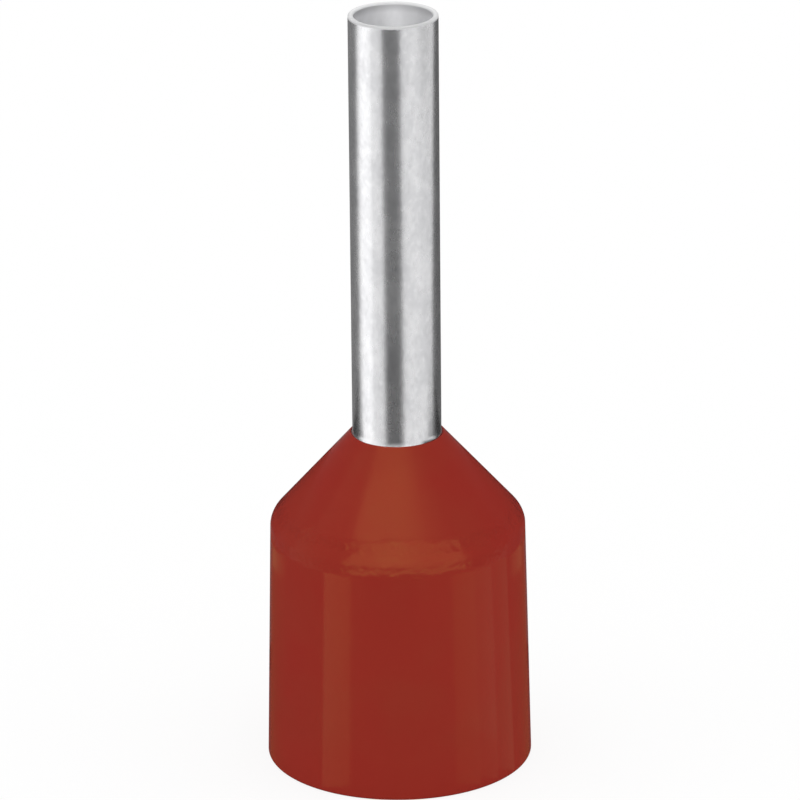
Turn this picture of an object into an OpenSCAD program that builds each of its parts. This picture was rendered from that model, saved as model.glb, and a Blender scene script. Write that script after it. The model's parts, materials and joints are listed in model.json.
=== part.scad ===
// Insulated cord-end ferrule: a tinned copper sleeve, flared at its wire end, held in a moulded collar.
// The collar stands on its mouth at z = 0, and the sleeve rises along +Z to its tip.

/* [Metal sleeve] */
// Bore that takes the bare strands
tube_bore_d = 1.44; // [1.2:0.02:1.8]
// Thickness of the sheet
tube_wall = 0.10; // [0.08:0.01:0.15]
// Length that stands out of the collar
tube_out_len = 8.0; // [6:0.5:12]
// Rounding of the edges at the tip
tip_round = 0.03; // [0.01:0.005:0.035]

/* [Flared end of the sleeve] */
// Half-angle of the flare, measured from the axis
flare_angle = 30; // [25:1:34]
// Length of the flared wall along its slope
flare_len = 1.1; // [0.7:0.1:1.4]
// Radius on the outside of the bend into the flare
bend_radius = 0.25; // [0.25:0.05:0.5]
// Height of the bend that shows above the collar
bend_show = 0.085; // [0.01:0.005:0.09]

/* [Collar] */
// Bore that takes the wire with its insulation
wire_bore_d = 4.1; // [3.6:0.1:4.6]
// Length of the skirt, from the mouth to the shoulder
skirt_len = 4.67; // [3:0.01:7]
// Length of the cone, from the shoulder to the neck
cone_len = 1.68; // [1.3:0.01:2]
// Wall of the skirt at the mouth
mouth_wall = 0.41; // [0.3:0.01:0.6]
// Wall of the skirt at the shoulder
shoulder_wall = 0.305; // [0.25:0.005:0.5]
// Thickness of the edge at the neck
neck_edge = 0.02; // [0.01:0.01:0.15]
// Rounding of the shoulder
shoulder_round = 0.35; // [0.05:0.05:0.5]
// Rounding of the outer lip at the mouth
lip_round = 0.06; // [0.04:0.02:0.14]
// Chamfer inside the mouth that leads the wire in
lead_in = 0.12; // [0.04:0.02:0.14]

/* [Fit] */
// Clearance between the flared end and its seat in the collar
seat_gap = 0.01; // [0.005:0.005:0.02]

/* [Hidden] */
arc_steps = 6;
$fn = 96;

tube_bore_r = tube_bore_d / 2;
tube_r = tube_bore_r + tube_wall;
wire_bore_r = wire_bore_d / 2;
collar_len = skirt_len + cone_len;
tip_z = collar_len + tube_out_len;

// The sleeve's two faces and the collar's seat bend about one centre, then run on side by side
bend_z = collar_len + bend_show;
bend_centre = [tube_r + bend_radius, bend_z];
inner_face = bend_radius + tube_wall;
outer_face = bend_radius;
seat_face = bend_radius - seat_gap;
neck_angle = asin(bend_show / seat_face);
step_len = flare_len + seat_gap;

function heading(angle) = [cos(angle), sin(angle)];
function bend_point(face, angle) = bend_centre - face * heading(angle);
function bend_arc(face, from, to) =
    [for (i = [0:arc_steps]) bend_point(face, from + (to - from) * i / arc_steps)];
function flare_point(face, length) =
    bend_point(face, flare_angle) + length * [sin(flare_angle), -cos(flare_angle)];

// The funnel carries the sleeve's inner face on, out to the wire's bore
funnel_top = flare_point(inner_face, step_len);
funnel_z = funnel_top.y - (wire_bore_r - funnel_top.x) / tan(flare_angle);

// An outline's corner is [r, z], or [r, z, radius] where it is rounded
function unit(v) = v / norm(v);
function flat(corner) = [corner.x, corner.y];
function wrapped(angle) = (angle + 540) % 360 - 180;
function fillet(before, at, after, radius) =
    let (
        u = unit(before - at),
        v = unit(after - at),
        half = acos(u * v) / 2,
        centre = at + unit(u + v) * radius / sin(half),
        first = at + u * radius / tan(half) - centre,
        last = at + v * radius / tan(half) - centre,
        start = atan2(first.y, first.x),
        sweep = wrapped(atan2(last.y, last.x) - start)
    )
    [for (i = [0:arc_steps]) centre + radius * heading(start + sweep * i / arc_steps)];
function corner_at(corners, i) = flat(corners[(i + len(corners)) % len(corners)]);
function rounded(corners) =
    [for (i = [0:len(corners) - 1])
        let (at = corner_at(corners, i), radius = corners[i].z)
        each is_undef(radius)
            ? [at]
            : fillet(corner_at(corners, i - 1), at, corner_at(corners, i + 1), radius)];

// Straight tube whose lower end opens out as a funnel
sleeve_outline = [
    [tube_r, tip_z, tip_round],
    [tube_bore_r, tip_z, tip_round],
    each bend_arc(inner_face, 0, flare_angle),
    flare_point(inner_face, flare_len),
    flare_point(outer_face, flare_len),
    each bend_arc(outer_face, flare_angle, 0)
];

// Tapered skirt, shoulder and cone outside; seat, step, funnel, bore and lead-in inside
collar_outline = [
    [wire_bore_r + mouth_wall, 0, lip_round],
    [wire_bore_r + shoulder_wall, skirt_len, shoulder_round],
    bend_point(seat_face, neck_angle) + [neck_edge, 0],
    each bend_arc(seat_face, neck_angle, flare_angle),
    flare_point(seat_face, step_len),
    funnel_top,
    [wire_bore_r, funnel_z],
    [wire_bore_r, lead_in],
    [wire_bore_r + lead_in, 0]
];

module sleeve() {
    color([0.78, 0.78, 0.79]) rotate_extrude() polygon(rounded(sleeve_outline));
}

module collar() {
    color([0.56, 0.18, 0.15]) rotate_extrude() polygon(rounded(collar_outline));
}

sleeve();
collar();
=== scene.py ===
# Insulated cord-end ferrule: a tinned copper sleeve, flared at its wire end, in a moulded red collar.
import json
import math
import bpy
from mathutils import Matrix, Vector


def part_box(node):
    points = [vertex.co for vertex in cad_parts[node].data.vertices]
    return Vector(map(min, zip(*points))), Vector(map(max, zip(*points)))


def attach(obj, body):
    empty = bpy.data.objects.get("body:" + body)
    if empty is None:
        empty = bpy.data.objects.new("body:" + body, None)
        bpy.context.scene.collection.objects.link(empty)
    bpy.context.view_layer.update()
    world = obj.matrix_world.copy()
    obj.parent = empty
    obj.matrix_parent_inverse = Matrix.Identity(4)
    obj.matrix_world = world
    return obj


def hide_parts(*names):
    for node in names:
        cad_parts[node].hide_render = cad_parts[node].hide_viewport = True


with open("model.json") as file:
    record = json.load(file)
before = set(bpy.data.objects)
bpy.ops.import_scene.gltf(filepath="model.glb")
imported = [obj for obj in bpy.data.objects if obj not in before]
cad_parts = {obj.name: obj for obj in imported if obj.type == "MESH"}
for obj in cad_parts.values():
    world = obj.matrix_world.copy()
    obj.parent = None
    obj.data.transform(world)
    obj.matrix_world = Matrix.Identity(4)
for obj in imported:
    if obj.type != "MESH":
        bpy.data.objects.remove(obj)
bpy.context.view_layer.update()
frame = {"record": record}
mm = 0.001    # lengths below are in millimetres, and in metres once they are multiplied by this
mounts = {mount["name"]: mount for mount in frame["record"]["mounts"]}
print("frame loaded")


# Shader maths

class Wire:
    # An output of a node, so that a material's maths reads as plain expressions
    def __init__(self, tree, socket=None):
        self.tree = tree
        self.socket = socket

    def node(self, kind, settings=None, inputs=None, output=0):
        # Adds a node of a kind: its settings come first, then the values or links of its sockets
        made = self.tree.nodes.new(kind)
        for name, value in (settings or {}).items():
            setattr(made, name, value)
        for name, value in (inputs or {}).items():
            if isinstance(value, Wire):
                self.tree.links.new(value.socket, made.inputs[name])
            else:
                made.inputs[name].default_value = value
        return Wire(self.tree, made.outputs[output] if made.outputs else None)

    def maths(self, operation, *values):
        return self.node("ShaderNodeMath", {"operation": operation}, dict(enumerate(values)))

    def __add__(self, other):
        return self.maths("ADD", self, other)

    def __radd__(self, other):
        return self.maths("ADD", other, self)

    def __sub__(self, other):
        return self.maths("SUBTRACT", self, other)

    def __rsub__(self, other):
        return self.maths("SUBTRACT", other, self)

    def __mul__(self, other):
        return self.maths("MULTIPLY", self, other)

    def __rmul__(self, other):
        return self.maths("MULTIPLY", other, self)

    def step(self, low, high):
        # 0 below low, 1 above high, and smooth between them
        return self.node(
            "ShaderNodeMapRange",
            {"interpolation_type": "SMOOTHSTEP"},
            {"Value": self, "From Min": low, "From Max": high},
        )

    def past(self, mark, fade):
        # A step whose two ends lie at these distances from a mark
        return self.step(mark + fade[0], mark + fade[1])

    def noise(self, scale, stretch, detail):
        # Noise over this place, with about scale features to the millimetre
        spread = self.node(
            "ShaderNodeMapping",
            {"vector_type": "POINT"},
            {"Vector": self, "Scale": tuple(scale * k / mm for k in stretch)},
        )
        return self.node("ShaderNodeTexNoise", {}, {"Vector": spread, "Scale": 1.0, "Detail": detail})

    def blend(self, first, second):
        # From the first colour to the second, as this value goes from 0 to 1
        first, second = (end if isinstance(end, Wire) else (*end, 1) for end in (first, second))
        return self.node("ShaderNodeMix", {"data_type": "RGBA"}, {0: self, 6: first, 7: second}, output=2)


def startMaterial(name):
    made = bpy.data.materials.new(name)
    made.use_nodes = True
    made.node_tree.nodes.clear()
    return made, Wire(made.node_tree)


def radiusAt(place):
    # Distance from the axis, in millimetres
    flat = place.node(
        "ShaderNodeVectorMath", {"operation": "MULTIPLY"}, {0: place, 1: (1 / mm, 1 / mm, 0)}
    )
    return place.node("ShaderNodeVectorMath", {"operation": "LENGTH"}, {0: flat}, output="Value")


def along(place, axis):
    # Distance along an axis, in millimetres: Z is the height above the mouth
    return place.node("ShaderNodeSeparateXYZ", {}, {0: place}, output=axis) * (1 / mm)


# Turned shapes

turning = {
    "reach": 0.002,          # a vertex this near to a corner of the outline is on its ring
    "weld": 0.0001,          # vertices closer than this are merged
    "sharpAngle": 25,        # degrees between faces, above which an edge stays sharp
    "faceWeight": 100,       # large faces alone set the shading beside a rounding
}
square = math.pi / 2


def turned(name, corners, count):
    # A ring is extruded along the outline's corners, [r, z] in millimetres, and joined back to the first
    bpy.ops.object.select_all(action="DESELECT")
    (r, z) = corners[0]
    bpy.ops.mesh.primitive_circle_add(vertices=count, radius=r * mm)
    piece = bpy.context.object
    piece.name = name
    piece.data.name = name
    bpy.ops.object.mode_set(mode="EDIT")
    bpy.ops.mesh.select_all(action="SELECT")
    bpy.ops.transform.translate(value=(0, 0, z * mm))
    for (nextR, nextZ) in corners[1:]:
        bpy.ops.mesh.extrude_region_move(TRANSFORM_OT_translate={"value": (0, 0, (nextZ - z) * mm)})
        bpy.ops.transform.resize(value=(nextR / r, nextR / r, 1), center_override=(0, 0, nextZ * mm))
        (r, z) = (nextR, nextZ)
    bpy.ops.mesh.select_mode(type="EDGE")
    bpy.ops.mesh.select_all(action="DESELECT")
    bpy.ops.mesh.select_non_manifold()
    bpy.ops.mesh.bridge_edge_loops()
    bpy.ops.object.mode_set(mode="OBJECT")
    return piece


def roundRing(piece, corner, radius, turn, segments):
    # Rounds the ring of edges at a corner of the outline, where the outline turns by an angle
    (r, z) = corner
    bpy.ops.object.mode_set(mode="EDIT")
    bpy.ops.mesh.select_mode(type="EDGE")
    bpy.ops.mesh.select_all(action="DESELECT")
    bpy.ops.object.mode_set(mode="OBJECT")
    near = {
        vertex.index
        for vertex in piece.data.vertices
        if math.hypot(vertex.co.xy.length / mm - r, vertex.co.z / mm - z) < turning["reach"]
    }
    for edge in piece.data.edges:
        edge.select = set(edge.vertices) <= near
    bpy.ops.object.mode_set(mode="EDIT")
    bpy.ops.mesh.bevel(
        offset=radius * math.tan(turn / 2) * mm,
        offset_type="OFFSET",
        segments=segments,
        affect="EDGES",
    )
    bpy.ops.object.mode_set(mode="OBJECT")


def finishShell(piece):
    bpy.ops.object.mode_set(mode="EDIT")
    bpy.ops.mesh.select_all(action="SELECT")
    bpy.ops.mesh.remove_doubles(threshold=turning["weld"] * mm)
    bpy.ops.mesh.normals_make_consistent(inside=False)
    bpy.ops.object.mode_set(mode="OBJECT")
    bpy.ops.object.shade_smooth_by_angle(angle=math.radians(turning["sharpAngle"]))
    evenFaces = piece.modifiers.new("evenFaces", "WEIGHTED_NORMAL")
    evenFaces.mode = "FACE_AREA"
    evenFaces.weight = turning["faceWeight"]
    evenFaces.keep_sharp = True
    bpy.ops.object.modifier_apply(modifier=evenFaces.name)


# Sleeve: straight tube whose lower end opens out as a funnel

sleeve = {
    "segments": 160,
    "flareAngle": 30,             # degrees from the axis
    "bendRadius": 0.25,           # outside of the bend into the flare
    "bendSteps": 10,
    "tipRound": 0.03,
    "tipSteps": 6,
    "metal": (0.73, 0.73, 0.74),
    "dullMetal": (0.64, 0.64, 0.655),
    "brightCrystal": (0.86, 0.86, 0.87),
    "dullCrystal": (0.52, 0.52, 0.53),
    # Rim colours: painted shade at the front of the cut rim and painted light at its back
    "rimFront": (0.54, 0.54, 0.545),
    "rimBack": (0.74, 0.74, 0.745),
    "boreMetal": (0.68, 0.68, 0.69),
    # Colour of the bore's stains, and of the painted shade in the bore just under the rim
    "boreEdge": (0.46, 0.46, 0.47),
    "boreFade": (0.02, 0.04),     # outside the bore's radius, where its finish ends
    "neckFade": (-0.2, -0.05),    # from the neck, below which the tin is as dull as the bore
    "rimFade": (-0.05, -0.02),    # from the tip, where the cut rim begins
    "edgeFade": (-0.2, -0.04),    # from the tip, where the bore darkens towards the rim: painted shade under the rim
    # Noises: features to the millimetre, stretch, and detail
    "drawn": (9, (1, 1, 0.02), 3.0),     # lines left by drawing the tube
    "mottle": (2.8, (1, 1, 0.6), 4.0),   # uneven tin
    "grain": (14, (1, 1, 1), 2.0),
    "crystal": (9, (1, 1, 0.7), 1.0),    # small bright and dull crystals in the tin
    "mottleRange": (0.3, 0.7),
    "brightRange": (0.5, 0.75),
    "dullRange": (0.25, 0.5),
    "crystalShare": 0.28,         # how far a crystal's colour shows
    "stainRange": (0.4, 0.65),
    "stainShare": 0.3,            # how far the bore's stains show
    "rimWander": 0.3,             # how unevenly the rim's painted shade and painted light meet
    "roughness": 0.27,
    "boreRoughness": 0.5,
    "rimRoughness": 0.55,
    "mottleRoughness": 0.06,
    "drawnRoughness": 0.04,
    "boreDust": 0.3,              # share of the bore's finish that isn't metallic
    "specular": 0.1,
    "drawnHeight": 0.5,           # heights as shares of the bump's depth
    "mottleHeight": 1.5,
    "grainHeight": 0.2,
    "bumpStrength": 0.3,
    "bumpDepth": 0.005,
}
boreR = mounts["conductor_bore"]["dims"]["r_mm"]
tubeR = mounts["contact_pin"]["dims"]["r_mm"]
wall = tubeR - boreR
sleeveLow, sleeveHigh = (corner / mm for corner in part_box("sleeve"))
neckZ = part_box("collar")[1].z / mm
flareAngle = math.radians(sleeve["flareAngle"])
flareR = sleeveHigh.x
tipZ = sleeveHigh.z
flareZ = sleeveLow.z + wall * math.sin(flareAngle)
innerFlareR = flareR - wall * math.cos(flareAngle)
outerBend = (tubeR, flareZ + (flareR - tubeR) / math.tan(flareAngle))
innerBend = (boreR, sleeveLow.z + (innerFlareR - boreR) / math.tan(flareAngle))


def makeSleeve():
    outerTip = (tubeR, tipZ)
    innerTip = (boreR, tipZ)
    flareEnd = [(flareR, flareZ), (innerFlareR, sleeveLow.z)]
    corners = [outerTip, outerBend, *flareEnd, innerBend, innerTip]
    piece = turned("sleeveTube", corners, sleeve["segments"])
    roundRing(piece, outerBend, sleeve["bendRadius"], flareAngle, sleeve["bendSteps"])
    roundRing(piece, innerBend, sleeve["bendRadius"] + wall, flareAngle, sleeve["bendSteps"])
    for tip in (outerTip, innerTip):
        roundRing(piece, tip, sleeve["tipRound"], square, sleeve["tipSteps"])
    finishShell(piece)
    return piece


def tinnedCopper():
    made, start = startMaterial("tinnedCopper")
    place = start.node("ShaderNodeTexCoord", {}, {}, output="Object")
    height = along(place, "Z")
    inTube = 1 - radiusAt(place).past(boreR, sleeve["boreFade"])
    inCollar = 1 - height.past(neckZ, sleeve["neckFade"])
    inBore = start.maths("MAXIMUM", inTube, inCollar)
    onRim = height.past(tipZ, sleeve["rimFade"])
    drawn = place.noise(*sleeve["drawn"])
    mottle = place.noise(*sleeve["mottle"])
    grain = place.noise(*sleeve["grain"])
    crystal = place.noise(*sleeve["crystal"])

    outside = mottle.step(*sleeve["mottleRange"]).blend(sleeve["dullMetal"], sleeve["metal"])
    isBright = sleeve["crystalShare"] * crystal.step(*sleeve["brightRange"])
    outside = isBright.blend(outside, sleeve["brightCrystal"])
    isDull = sleeve["crystalShare"] * (1 - crystal.step(*sleeve["dullRange"]))
    outside = isDull.blend(outside, sleeve["dullCrystal"])
    # The bore darkens towards the rim: painted shade. Its stains, which are random, take the same colour.
    inside = height.past(tipZ, sleeve["edgeFade"]).blend(sleeve["boreMetal"], sleeve["boreEdge"])
    isStained = sleeve["stainShare"] * mottle.step(*sleeve["stainRange"])
    inside = isStained.blend(inside, sleeve["boreEdge"])
    # The cut rim is painted darker at the front and lighter at the back, along Y: painted shade and painted
    # light
    toBack = along(place, "Y") + sleeve["rimWander"] * (mottle - 0.5)
    rim = toBack.step(-tubeR, tubeR).blend(sleeve["rimFront"], sleeve["rimBack"])
    colour = onRim.blend(inBore.blend(outside, inside), rim)

    roughness = sleeve["roughness"] + sleeve["mottleRoughness"] * (mottle - 0.5)
    roughness = roughness + sleeve["drawnRoughness"] * (drawn - 0.5)
    roughness = roughness + inBore * (sleeve["boreRoughness"] - sleeve["roughness"])
    roughness = roughness + onRim * (sleeve["rimRoughness"] - sleeve["roughness"])
    metallic = 1 - start.maths("MAXIMUM", sleeve["boreDust"] * inBore, onRim)
    relief = drawn * sleeve["drawnHeight"] + mottle * sleeve["mottleHeight"] + grain * sleeve["grainHeight"]
    bump = start.node(
        "ShaderNodeBump",
        {},
        {"Height": relief, "Strength": sleeve["bumpStrength"], "Distance": sleeve["bumpDepth"] * mm},
    )
    shader = start.node(
        "ShaderNodeBsdfPrincipled",
        {},
        {
            "Base Color": colour,
            "Roughness": roughness,
            "Metallic": metallic,
            "Normal": bump,
            "Specular IOR Level": sleeve["specular"],
        },
    )
    start.node("ShaderNodeOutputMaterial", {}, {"Surface": shader})
    return made


# Collar: tapered skirt, shoulder and cone outside; seat, step, funnel, bore and lead-in inside

collar = {
    "segments": 192,
    "mouthWall": 0.41,
    "shoulderWall": 0.305,
    "shoulderZ": 4.67,
    "shoulderRound": 0.35,
    "shoulderSteps": 10,
    "lipRound": 0.06,
    "lipSteps": 6,
    "leadIn": 0.12,
    "neckEdge": 0.02,
    "seatGap": 0.01,
    "seatSteps": 4,
    "plastic": (0.264, 0.0225, 0.0160),
    "plasticTan": (0.260, 0.0255, 0.0168),
    # Lighter near the mouth: painted light that offsets the floor's shade at the foot
    "plasticPale": (0.280, 0.0255, 0.0175),
    "paleHeight": 1.4,            # above the mouth, where the painted light near the mouth ends
    # Noises: features to the millimetre, stretch, and detail
    "cloud": (0.8, (1, 1, 1), 3.0),
    "fleck": (6, (1, 1, 1), 2.0),
    "skin": (22, (1, 1, 1), 2.0),        # fine texture of the mould
    "ripple": (3, (1, 1, 1), 2.0),
    "cloudRange": (0.35, 0.7),
    "roughness": 0.19,
    "cloudRoughness": 0.08,
    "fleckRoughness": 0.06,
    "shoulderEase": 0.06,         # how far the shoulder's shading sinks towards a wider rounding
    "easeBelow": (-0.37, -0.01),  # from the shoulder, where the easing rises
    "easeAbove": (0.03, 0.33),    # and where it falls again
    "rippleWander": 0.17,         # how unevenly it follows the shoulder
    "fleckWander": 0.02,
    "fleckHeight": 0.6,           # as a share of the skin's height
    "skinStrength": 0.2,
    "skinDepth": 0.004,
    "specular": 0.05,
    "specularTint": (0.8, 0.8, 0.18, 1),
}
wireR = mounts["insulation_bore"]["dims"]["r_mm"]


def makeCollar():
    # The seat follows the sleeve's bend about one centre, a gap away from it
    bendRadius = sleeve["bendRadius"]
    bendTangent = bendRadius * math.tan(flareAngle / 2)
    centreR = tubeR + bendRadius
    centreZ = outerBend[1] + bendTangent
    seatRadius = bendRadius - collar["seatGap"]
    stepLength = math.hypot(flareR - tubeR, flareZ - outerBend[1]) - bendTangent + collar["seatGap"]

    def bent(face, angle, length=0):
        return (
            centreR - face * math.cos(angle) + length * math.sin(angle),
            centreZ - face * math.sin(angle) - length * math.cos(angle),
        )

    neckAngle = math.asin((centreZ - neckZ) / seatRadius)
    seat = [
        bent(seatRadius, neckAngle + (flareAngle - neckAngle) * i / collar["seatSteps"])
        for i in range(collar["seatSteps"] + 1)
    ]
    funnel = bent(bendRadius + wall, flareAngle, stepLength)
    mouth = (wireR + collar["mouthWall"], 0)
    shoulder = (wireR + collar["shoulderWall"], collar["shoulderZ"])
    neck = (seat[0][0] + collar["neckEdge"], neckZ)
    corners = [
        mouth,
        shoulder,
        neck,
        *seat,
        bent(seatRadius, flareAngle, stepLength),
        funnel,
        (wireR, funnel[1] - (wireR - funnel[0]) / math.tan(flareAngle)),
        (wireR, collar["leadIn"]),
        (wireR + collar["leadIn"], 0),
    ]
    piece = turned("collarShell", corners, collar["segments"])
    skirtLean = math.atan2(mouth[0] - shoulder[0], shoulder[1])
    coneLean = math.atan2(shoulder[0] - neck[0], neck[1] - shoulder[1])
    roundRing(piece, shoulder, collar["shoulderRound"], coneLean - skirtLean, collar["shoulderSteps"])
    roundRing(piece, mouth, collar["lipRound"], square + skirtLean, collar["lipSteps"])
    finishShell(piece)
    return piece


def redPlastic():
    made, start = startMaterial("redPlastic")
    place = start.node("ShaderNodeTexCoord", {}, {}, output="Object")
    height = along(place, "Z")
    cloud = place.noise(*collar["cloud"])
    fleck = place.noise(*collar["fleck"])
    skin = place.noise(*collar["skin"])
    ripple = place.noise(*collar["ripple"])

    colour = cloud.step(*collar["cloudRange"]).blend(collar["plastic"], collar["plasticTan"])
    # Lighter towards the mouth: painted light against the floor's shade at the foot
    nearMouth = 1 - height.step(0, collar["paleHeight"])
    colour = nearMouth.blend(colour, collar["plasticPale"])
    roughness = collar["roughness"] + collar["cloudRoughness"] * (cloud - 0.5)
    roughness = roughness + collar["fleckRoughness"] * (fleck - 0.5)

    level = height + collar["rippleWander"] * (ripple - 0.5) + collar["fleckWander"] * (fleck - 0.5)
    aboveSkirt = level.past(collar["shoulderZ"], collar["easeBelow"])
    belowCone = 1 - level.past(collar["shoulderZ"], collar["easeAbove"])
    eased = start.node(
        "ShaderNodeBump",
        {"invert": True},
        {"Height": aboveSkirt * belowCone, "Strength": 1.0, "Distance": collar["shoulderEase"] * mm},
    )
    bump = start.node(
        "ShaderNodeBump",
        {},
        {
            "Height": skin + collar["fleckHeight"] * fleck,
            "Strength": collar["skinStrength"],
            "Distance": collar["skinDepth"] * mm,
            "Normal": eased,
        },
    )
    shader = start.node(
        "ShaderNodeBsdfPrincipled",
        {},
        {
            "Base Color": colour,
            "Roughness": roughness,
            "Normal": bump,
            "Specular IOR Level": collar["specular"],
            "Specular Tint": collar["specularTint"],
        },
    )
    start.node("ShaderNodeOutputMaterial", {}, {"Surface": shader})
    return made


sleeveTube = makeSleeve()
sleeveTube.data.materials.append(tinnedCopper())
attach(sleeveTube, "root")
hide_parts("sleeve")
print("sleeve made")

collarShell = makeCollar()
collarShell.data.materials.append(redPlastic())
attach(collarShell, "root")
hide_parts("collar")
print("collar made")


# Floor and world: both plain white

room = {
    "floorSize": 600,
    "floorWhite": 0.94,
    "floorGlow": 0.86,            # how far the floor is plain white to the eye and in reflections
}


def makeFloor():
    bpy.ops.object.select_all(action="DESELECT")
    bpy.ops.mesh.primitive_plane_add(size=room["floorSize"] * mm)
    floor = bpy.context.object
    floor.name = "floor"
    made, start = startMaterial("floorWhite")
    seen = start.node("ShaderNodeLightPath", {}, {}, output="Is Camera Ray")
    mirrored = start.node("ShaderNodeLightPath", {}, {}, output="Is Glossy Ray")
    through = start.node("ShaderNodeLightPath", {}, {}, output="Is Transmission Ray")
    shown = (seen + mirrored + through) * room["floorGlow"]
    matte = start.node("ShaderNodeBsdfDiffuse", {}, {"Color": (*[room["floorWhite"]] * 3, 1)})
    white = start.node("ShaderNodeEmission", {}, {"Color": (1, 1, 1, 1), "Strength": 1.0})
    mixed = start.node("ShaderNodeMixShader", {}, {0: shown, 1: matte, 2: white})
    start.node("ShaderNodeOutputMaterial", {}, {"Surface": mixed})
    floor.data.materials.append(made)


def makeWorld():
    world = bpy.data.worlds.new("studio")
    bpy.context.scene.world = world
    world.use_nodes = True
    world.node_tree.nodes.clear()
    start = Wire(world.node_tree)
    sky = start.node("ShaderNodeBackground", {}, {"Color": (1, 1, 1, 1), "Strength": 1.0})
    start.node("ShaderNodeOutputWorld", {}, {"Surface": sky})


# Cards and gridded lamps that only reflections show

cards = {
    "white": (1, 1, 1),
    "warm": (0.85, 1, 0.7),
    "cream": (1, 0.72, 0.3),
    "blush": (1, 0.4, 0.35),
    "pale": (0.75, 1, 0.6),
    "bright": 1.45,
    "dim": 0.22,
    "dark": 0.14,
    "black": 0.03,
    # Standing cards and the floor behind, which show on the sleeve
    "top": 20,
    "frontDistance": 13,
    "brightSides": (-95.5, -60),  # degrees from the front, and plus is to the right
    "darkSides": (-28, 16.5),
    "low": 0.02,
    "lowDistance": 12.9,
    "lowTop": 4,
    "backY": 5,
    "backWidth": 19,
    "backRight": [(0, 2.5), (21, 0), (0, 20), (1, 20)],    # x and z
    "backLowY": 4.9,
    "backLowTop": 2.5,
    "floorY": (-1, 4.9),
    "justAbove": 0.01,            # above the floor
    # Shades beside the cone, and a dim reddish card on the floor round the foot: painted shade and painted
    # red bounce there, which only reflections show
    "coneShade": [(1.3, 4.2), (5, 4.2), (1.3, 5.75), (5, 6.3)],    # x and z, to either side
    "coneShadeY": 1.5,
    "foot": 0.2,
    "footReach": 3.7,
    # Overhead: brightness, then widths and depths as shares of the height
    "overhead": 9.2,
    "overheadZ": 60,
    "overheadX": (-0.63, 0.2),
    "overheadY": (-2.3, -0.15),
    "overheadFade": (0.75, 0.45, 0.22),
    "fadeWidth": 0.15,
    "overheadBack": 5,
    "overheadBackX": (-0.5, 0.25),
    "overheadBackY": (0.15, 2.3),
    # Over the shoulder and the neck, and seen from below only
    "shoulderZ": 6.2,
    "shoulderCorners": [(-13, -13.2), (17, -10.6), (-1.95, -3.1), (3.3, -3.1)],    # x and y
    "gauze": 0.4,                 # share of the light that the gauze takes
    "gauzeZ": 8,
    "gauzeCorners": [(-2, -2.15), (2, -2.15), (-2, -0.95), (2, -0.95)],
    # Far shades to either side, for the views from the front and the back
    "sideX": 60,
    "sideY": (-25, 90),
    "sideZ": (5, 100),
    # Skirt: from side to side in degrees, brightness and tint, and a glint's height
    "skirtEdgeLeft": (-80, -60, 0.15, "cream"),
    "skirtShade": (-60, -36, 0.13, "cream"),
    "skirtLeft": (-36, -22.2, 5.9, "warm"),
    "skirtRight": (25.5, 37.5, 3, "pale"),
    "skirtRightMiddle": (37.5, 48, 1.7, "pale"),
    "skirtRightFar": (48, 60, 1, "pale"),
    "skirtRightShade": (48, 58, 0.13, "cream"),
    "skirtEdgeRight": (58, 80, 0.17, "cream"),
    "glintLeft": (-78, -62, 0.5, "cream", (3.05, 3.5)),
    "glintRight": (62, 74, 0.6, "cream", (3.05, 3.6)),
    "skirtBackLeft": (207, 218, 3, "warm"),
    "skirtBackRight": (133, 148, 2, "warm"),
    "skirtFoot": 0.02,
    "skirtWall": (0, 3.8),
    "skirtReach": 2.8,
    "glintReach": 2.2,
    "gridReach": 0.3,
    "gridHeight": 4.3,
    "gridSpread": 90,             # degrees
    "gridEnergy": 0.75,
}
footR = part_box("collar")[1].x / mm


def onlyReflected(thing):
    thing.visible_camera = False
    thing.visible_diffuse = False
    thing.visible_transmission = False
    thing.visible_volume_scatter = False


def addCard(name, corners, glow, tint="white", fromBelow=False, cover=1.0):
    # A card with its four corners, near pair first
    # Seen from below only, it may also be a gauze that covers a share of what is behind it
    bpy.ops.object.select_all(action="DESELECT")
    bpy.ops.mesh.primitive_plane_add(size=1)
    card = bpy.context.object
    card.name = name
    for vertex, corner in zip(card.data.vertices, corners):
        vertex.co = Vector(corner) * mm
    made, start = startMaterial(name)
    light = start.node("ShaderNodeEmission", {}, {"Color": (*cards[tint], 1), "Strength": glow})
    if fromBelow:
        above = start.node("ShaderNodeNewGeometry", {}, {}, output="Backfacing")
        clear = start.node("ShaderNodeBsdfTransparent")
        light = start.node("ShaderNodeMixShader", {}, {0: above * cover, 1: clear, 2: light})
    start.node("ShaderNodeOutputMaterial", {}, {"Surface": light})
    card.data.materials.append(made)
    onlyReflected(card)
    card.visible_shadow = False


def pointAt(heading, distance, z=0):
    # Heading 0 is toward the front, and 90 to the right
    angle = math.radians(heading)
    return Vector((distance * math.sin(angle), -distance * math.cos(angle), z))


def standCard(name, sides, distance, top, glow):
    # A card that stands on the floor between two headings
    addCard(name, [pointAt(side, distance, z) for z in (0, top) for side in sides], glow)


def acrossCard(name, left, right, y, low, high, glow):
    # An upright card across the view
    addCard(name, [(left, y, low), (right, y, low), (left, y, high), (right, y, high)], glow)


def skirtEnds(sides, reach):
    # The skirt's foot at two sides, and the ends of what it mirrors there
    feet = [pointAt(side, footR, cards["skirtFoot"]) for side in sides]
    return feet, [foot + pointAt(2 * side, reach) for foot, side in zip(feet, sides)]


def skirtWall(name, ends, span, glow, tint):
    wall = [end + Vector((0, 0, height)) for height in span for end in ends]
    addCard(name + "Wall", wall, glow, tint)


def skirtCard(name):
    # Shows on the skirt between two sides: a low wall, and the floor up to it
    first, last, glow, tint = cards[name]
    feet, ends = skirtEnds((first, last), cards["skirtReach"])
    addCard(name + "Floor", feet + ends, glow, tint)
    skirtWall(name, ends, cards["skirtWall"], glow, tint)


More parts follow.
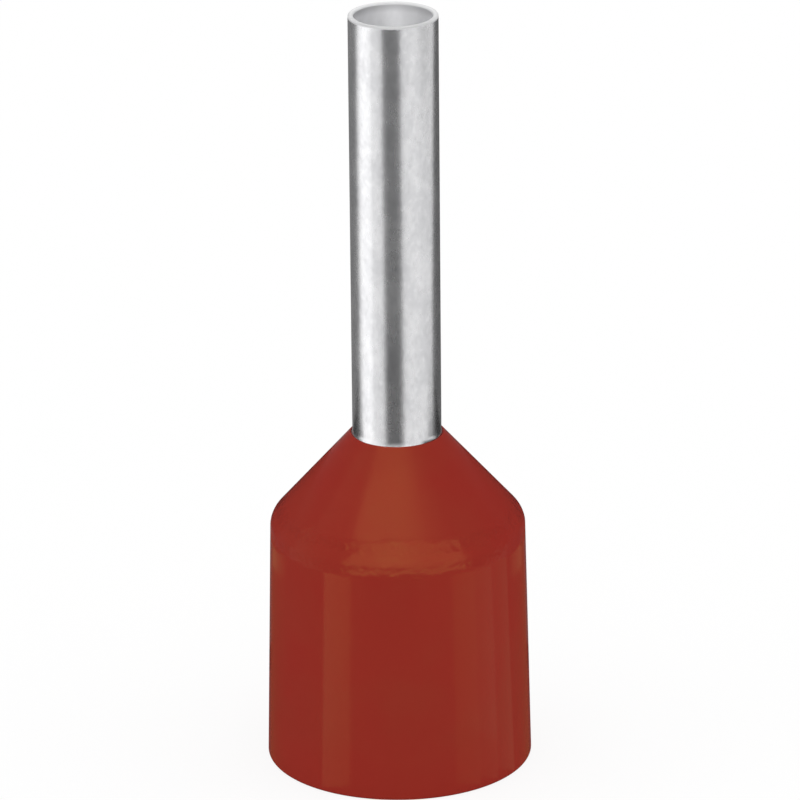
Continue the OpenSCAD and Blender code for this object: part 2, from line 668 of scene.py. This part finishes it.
def glintCard(name):
    # A narrow strip of light that shows high on the skirt, at its edge
    first, last, glow, tint, span = cards[name]
    feet, ends = skirtEnds((first, last), cards["glintReach"])
    skirtWall(name, ends, span, glow, tint)


def skirtLamp(name, seenFrom=0):
    # A lamp with a grid, close in, that shows on the skirt between two sides to a viewer on one heading
    first, last, glow, tint = cards[name]
    feet = [pointAt(side, footR) for side in (first, last)]
    middle = (feet[0] + feet[1]) / 2
    away = pointAt(first + last - seenFrom, 1)
    ends = []
    for side, foot in zip((first, last), feet):
        run = pointAt(2 * side - seenFrom, 1)
        ends.append(foot + run * (cards["gridReach"] - (foot - middle).dot(away)) / run.dot(away))
    height = cards["gridHeight"]
    place = (ends[0] + ends[1]) / 2 + Vector((0, 0, height / 2))
    bpy.ops.object.light_add(type="AREA", location=place * mm)
    lamp = bpy.context.object
    lamp.name = name
    lamp.data.shape = "RECTANGLE"
    lamp.data.size = (ends[1] - ends[0]).length * mm
    lamp.data.size_y = height * mm
    lamp.data.spread = math.radians(cards["gridSpread"])
    lamp.data.color = cards[tint]
    lamp.data.energy = glow * cards["gridEnergy"] * lamp.data.size * lamp.data.size_y
    lamp.rotation_euler = (-away).to_track_quat("-Z", "Y").to_euler()
    onlyReflected(lamp)


def overCard(name, across, deep, glow):
    # Shows on the cone: a level card high up, between widths and depths as shares of its height
    high = cards["overheadZ"]
    addCard(name, [(x * high, y * high, high) for y in deep for x in across], glow)


def makeSleeveCards():
    top = cards["top"]
    standCard("brightCard", cards["brightSides"], cards["frontDistance"], top, cards["bright"])
    standCard("frontDarkCard", cards["darkSides"], cards["frontDistance"], top, cards["dark"])
    standCard("frontLowCard", cards["darkSides"], cards["lowDistance"], cards["lowTop"], cards["low"])
    wide = cards["backWidth"]
    lowTop = cards["backLowTop"]
    acrossCard("backLeftCard", -wide, 0, cards["backY"], lowTop, top, cards["dim"])
    addCard("backRightCard", [(x, cards["backY"], z) for x, z in cards["backRight"]], cards["dark"])
    acrossCard("backLowCard", -wide, wide, cards["backLowY"], 0, lowTop, cards["dark"])
    level = [(x, y, cards["justAbove"]) for y in cards["floorY"] for x in (-wide, wide)]
    addCard("backFloorCard", level, cards["black"])


def makeSkirtCards():
    for name, side in (("coneShadeLeft", -1), ("coneShadeRight", 1)):
        addCard(name, [(side * x, cards["coneShadeY"], z) for x, z in cards["coneShade"]], cards["black"])
    # A dim reddish card on the floor round the foot: painted shade of the floor there, with red bounce,
    # seen only in reflections
    reach = cards["footReach"]
    level = [(x, y, cards["justAbove"]) for y in (-reach, reach) for x in (-reach, reach)]
    addCard("footCard", level, cards["foot"], "blush")
    skirtCard("skirtEdgeLeft")
    skirtCard("skirtShade")
    for name in ("skirtLeft", "skirtRight", "skirtRightMiddle", "skirtRightFar"):
        skirtLamp(name)
    skirtCard("skirtRightShade")
    skirtCard("skirtEdgeRight")
    glintCard("glintLeft")
    glintCard("glintRight")


def makeOverheadCards():
    over = [(x, y, cards["shoulderZ"]) for x, y in cards["shoulderCorners"]]
    addCard("shoulderCard", over, cards["overhead"], fromBelow=True)
    over = [(x, y, cards["gauzeZ"]) for x, y in cards["gauzeCorners"]]
    addCard("neckGauze", over, 0, fromBelow=True, cover=cards["gauze"])
    overCard("overheadCard", cards["overheadX"], cards["overheadY"], cards["overhead"])
    wide = cards["fadeWidth"]
    for i, fade in enumerate(cards["overheadFade"]):
        first = cards["overheadX"][1] + wide * i
        name = "overheadFade" + str(i + 1)
        overCard(name, (first, first + wide), cards["overheadY"], cards["overhead"] * fade)
    overCard("overheadBack", cards["overheadBackX"], cards["overheadBackY"], cards["overheadBack"])


def makeCards():
    makeSleeveCards()
    makeSkirtCards()
    makeOverheadCards()
    skirtLamp("skirtBackLeft", seenFrom=180)
    skirtLamp("skirtBackRight", seenFrom=180)
    for name, side in (("sideShadeLeft", -1), ("sideShadeRight", 1)):
        corners = [(side * cards["sideX"], y, z) for z in cards["sideZ"] for y in cards["sideY"]]
        addCard(name, corners, cards["black"])


# Two soft lamps and the camera

lamps = {
    "heading": 80,                # degrees to either side of the front
    "elevation": 30,
    "distance": 400,
    "size": 300,
    "energy": 0.12,
    "aim": 6,
}


def makeLamp(name, heading):
    rise = math.radians(lamps["elevation"])
    away = pointAt(heading, lamps["distance"] * math.cos(rise), lamps["distance"] * math.sin(rise))
    bpy.ops.object.light_add(type="AREA", location=away * mm)
    lamp = bpy.context.object
    lamp.name = name
    lamp.data.shape = "DISK"
    lamp.data.size = lamps["size"] * mm
    lamp.data.energy = lamps["energy"]
    toPart = Vector((0, 0, lamps["aim"] * mm)) - lamp.location
    lamp.rotation_euler = toPart.to_track_quat("-Z", "Y").to_euler()
    lamp.visible_glossy = False


view = {
    "distance": 120,
    "elevation": 20.4,
    "aim": (0.0622, 0, 6.952),
    "lean": -0.53,                # degrees about the line of sight
    "lens": 294,
    "sensor": 36,
    "clipStart": 0.001,           # metres
    "clipEnd": 10,
}


def makeCamera():
    up = math.radians(view["elevation"])
    back = Vector((0, -math.cos(up), math.sin(up))) * view["distance"]
    bpy.ops.object.camera_add(location=(Vector(view["aim"]) + back) * mm)
    camera = bpy.context.object
    camera.name = "camera"
    camera.rotation_euler = (math.pi / 2 - up, 0, 0)
    camera.rotation_euler.rotate_axis("Z", math.radians(view["lean"]))
    camera.data.lens = view["lens"]
    camera.data.sensor_width = view["sensor"]
    camera.data.clip_start = view["clipStart"]
    camera.data.clip_end = view["clipEnd"]
    bpy.context.scene.camera = camera


makeFloor()
makeWorld()
makeCards()
makeLamp("lampLeft", -lamps["heading"])
makeLamp("lampRight", lamps["heading"])
makeCamera()
bpy.context.scene.view_settings.view_transform = "Standard"
print("stage made")
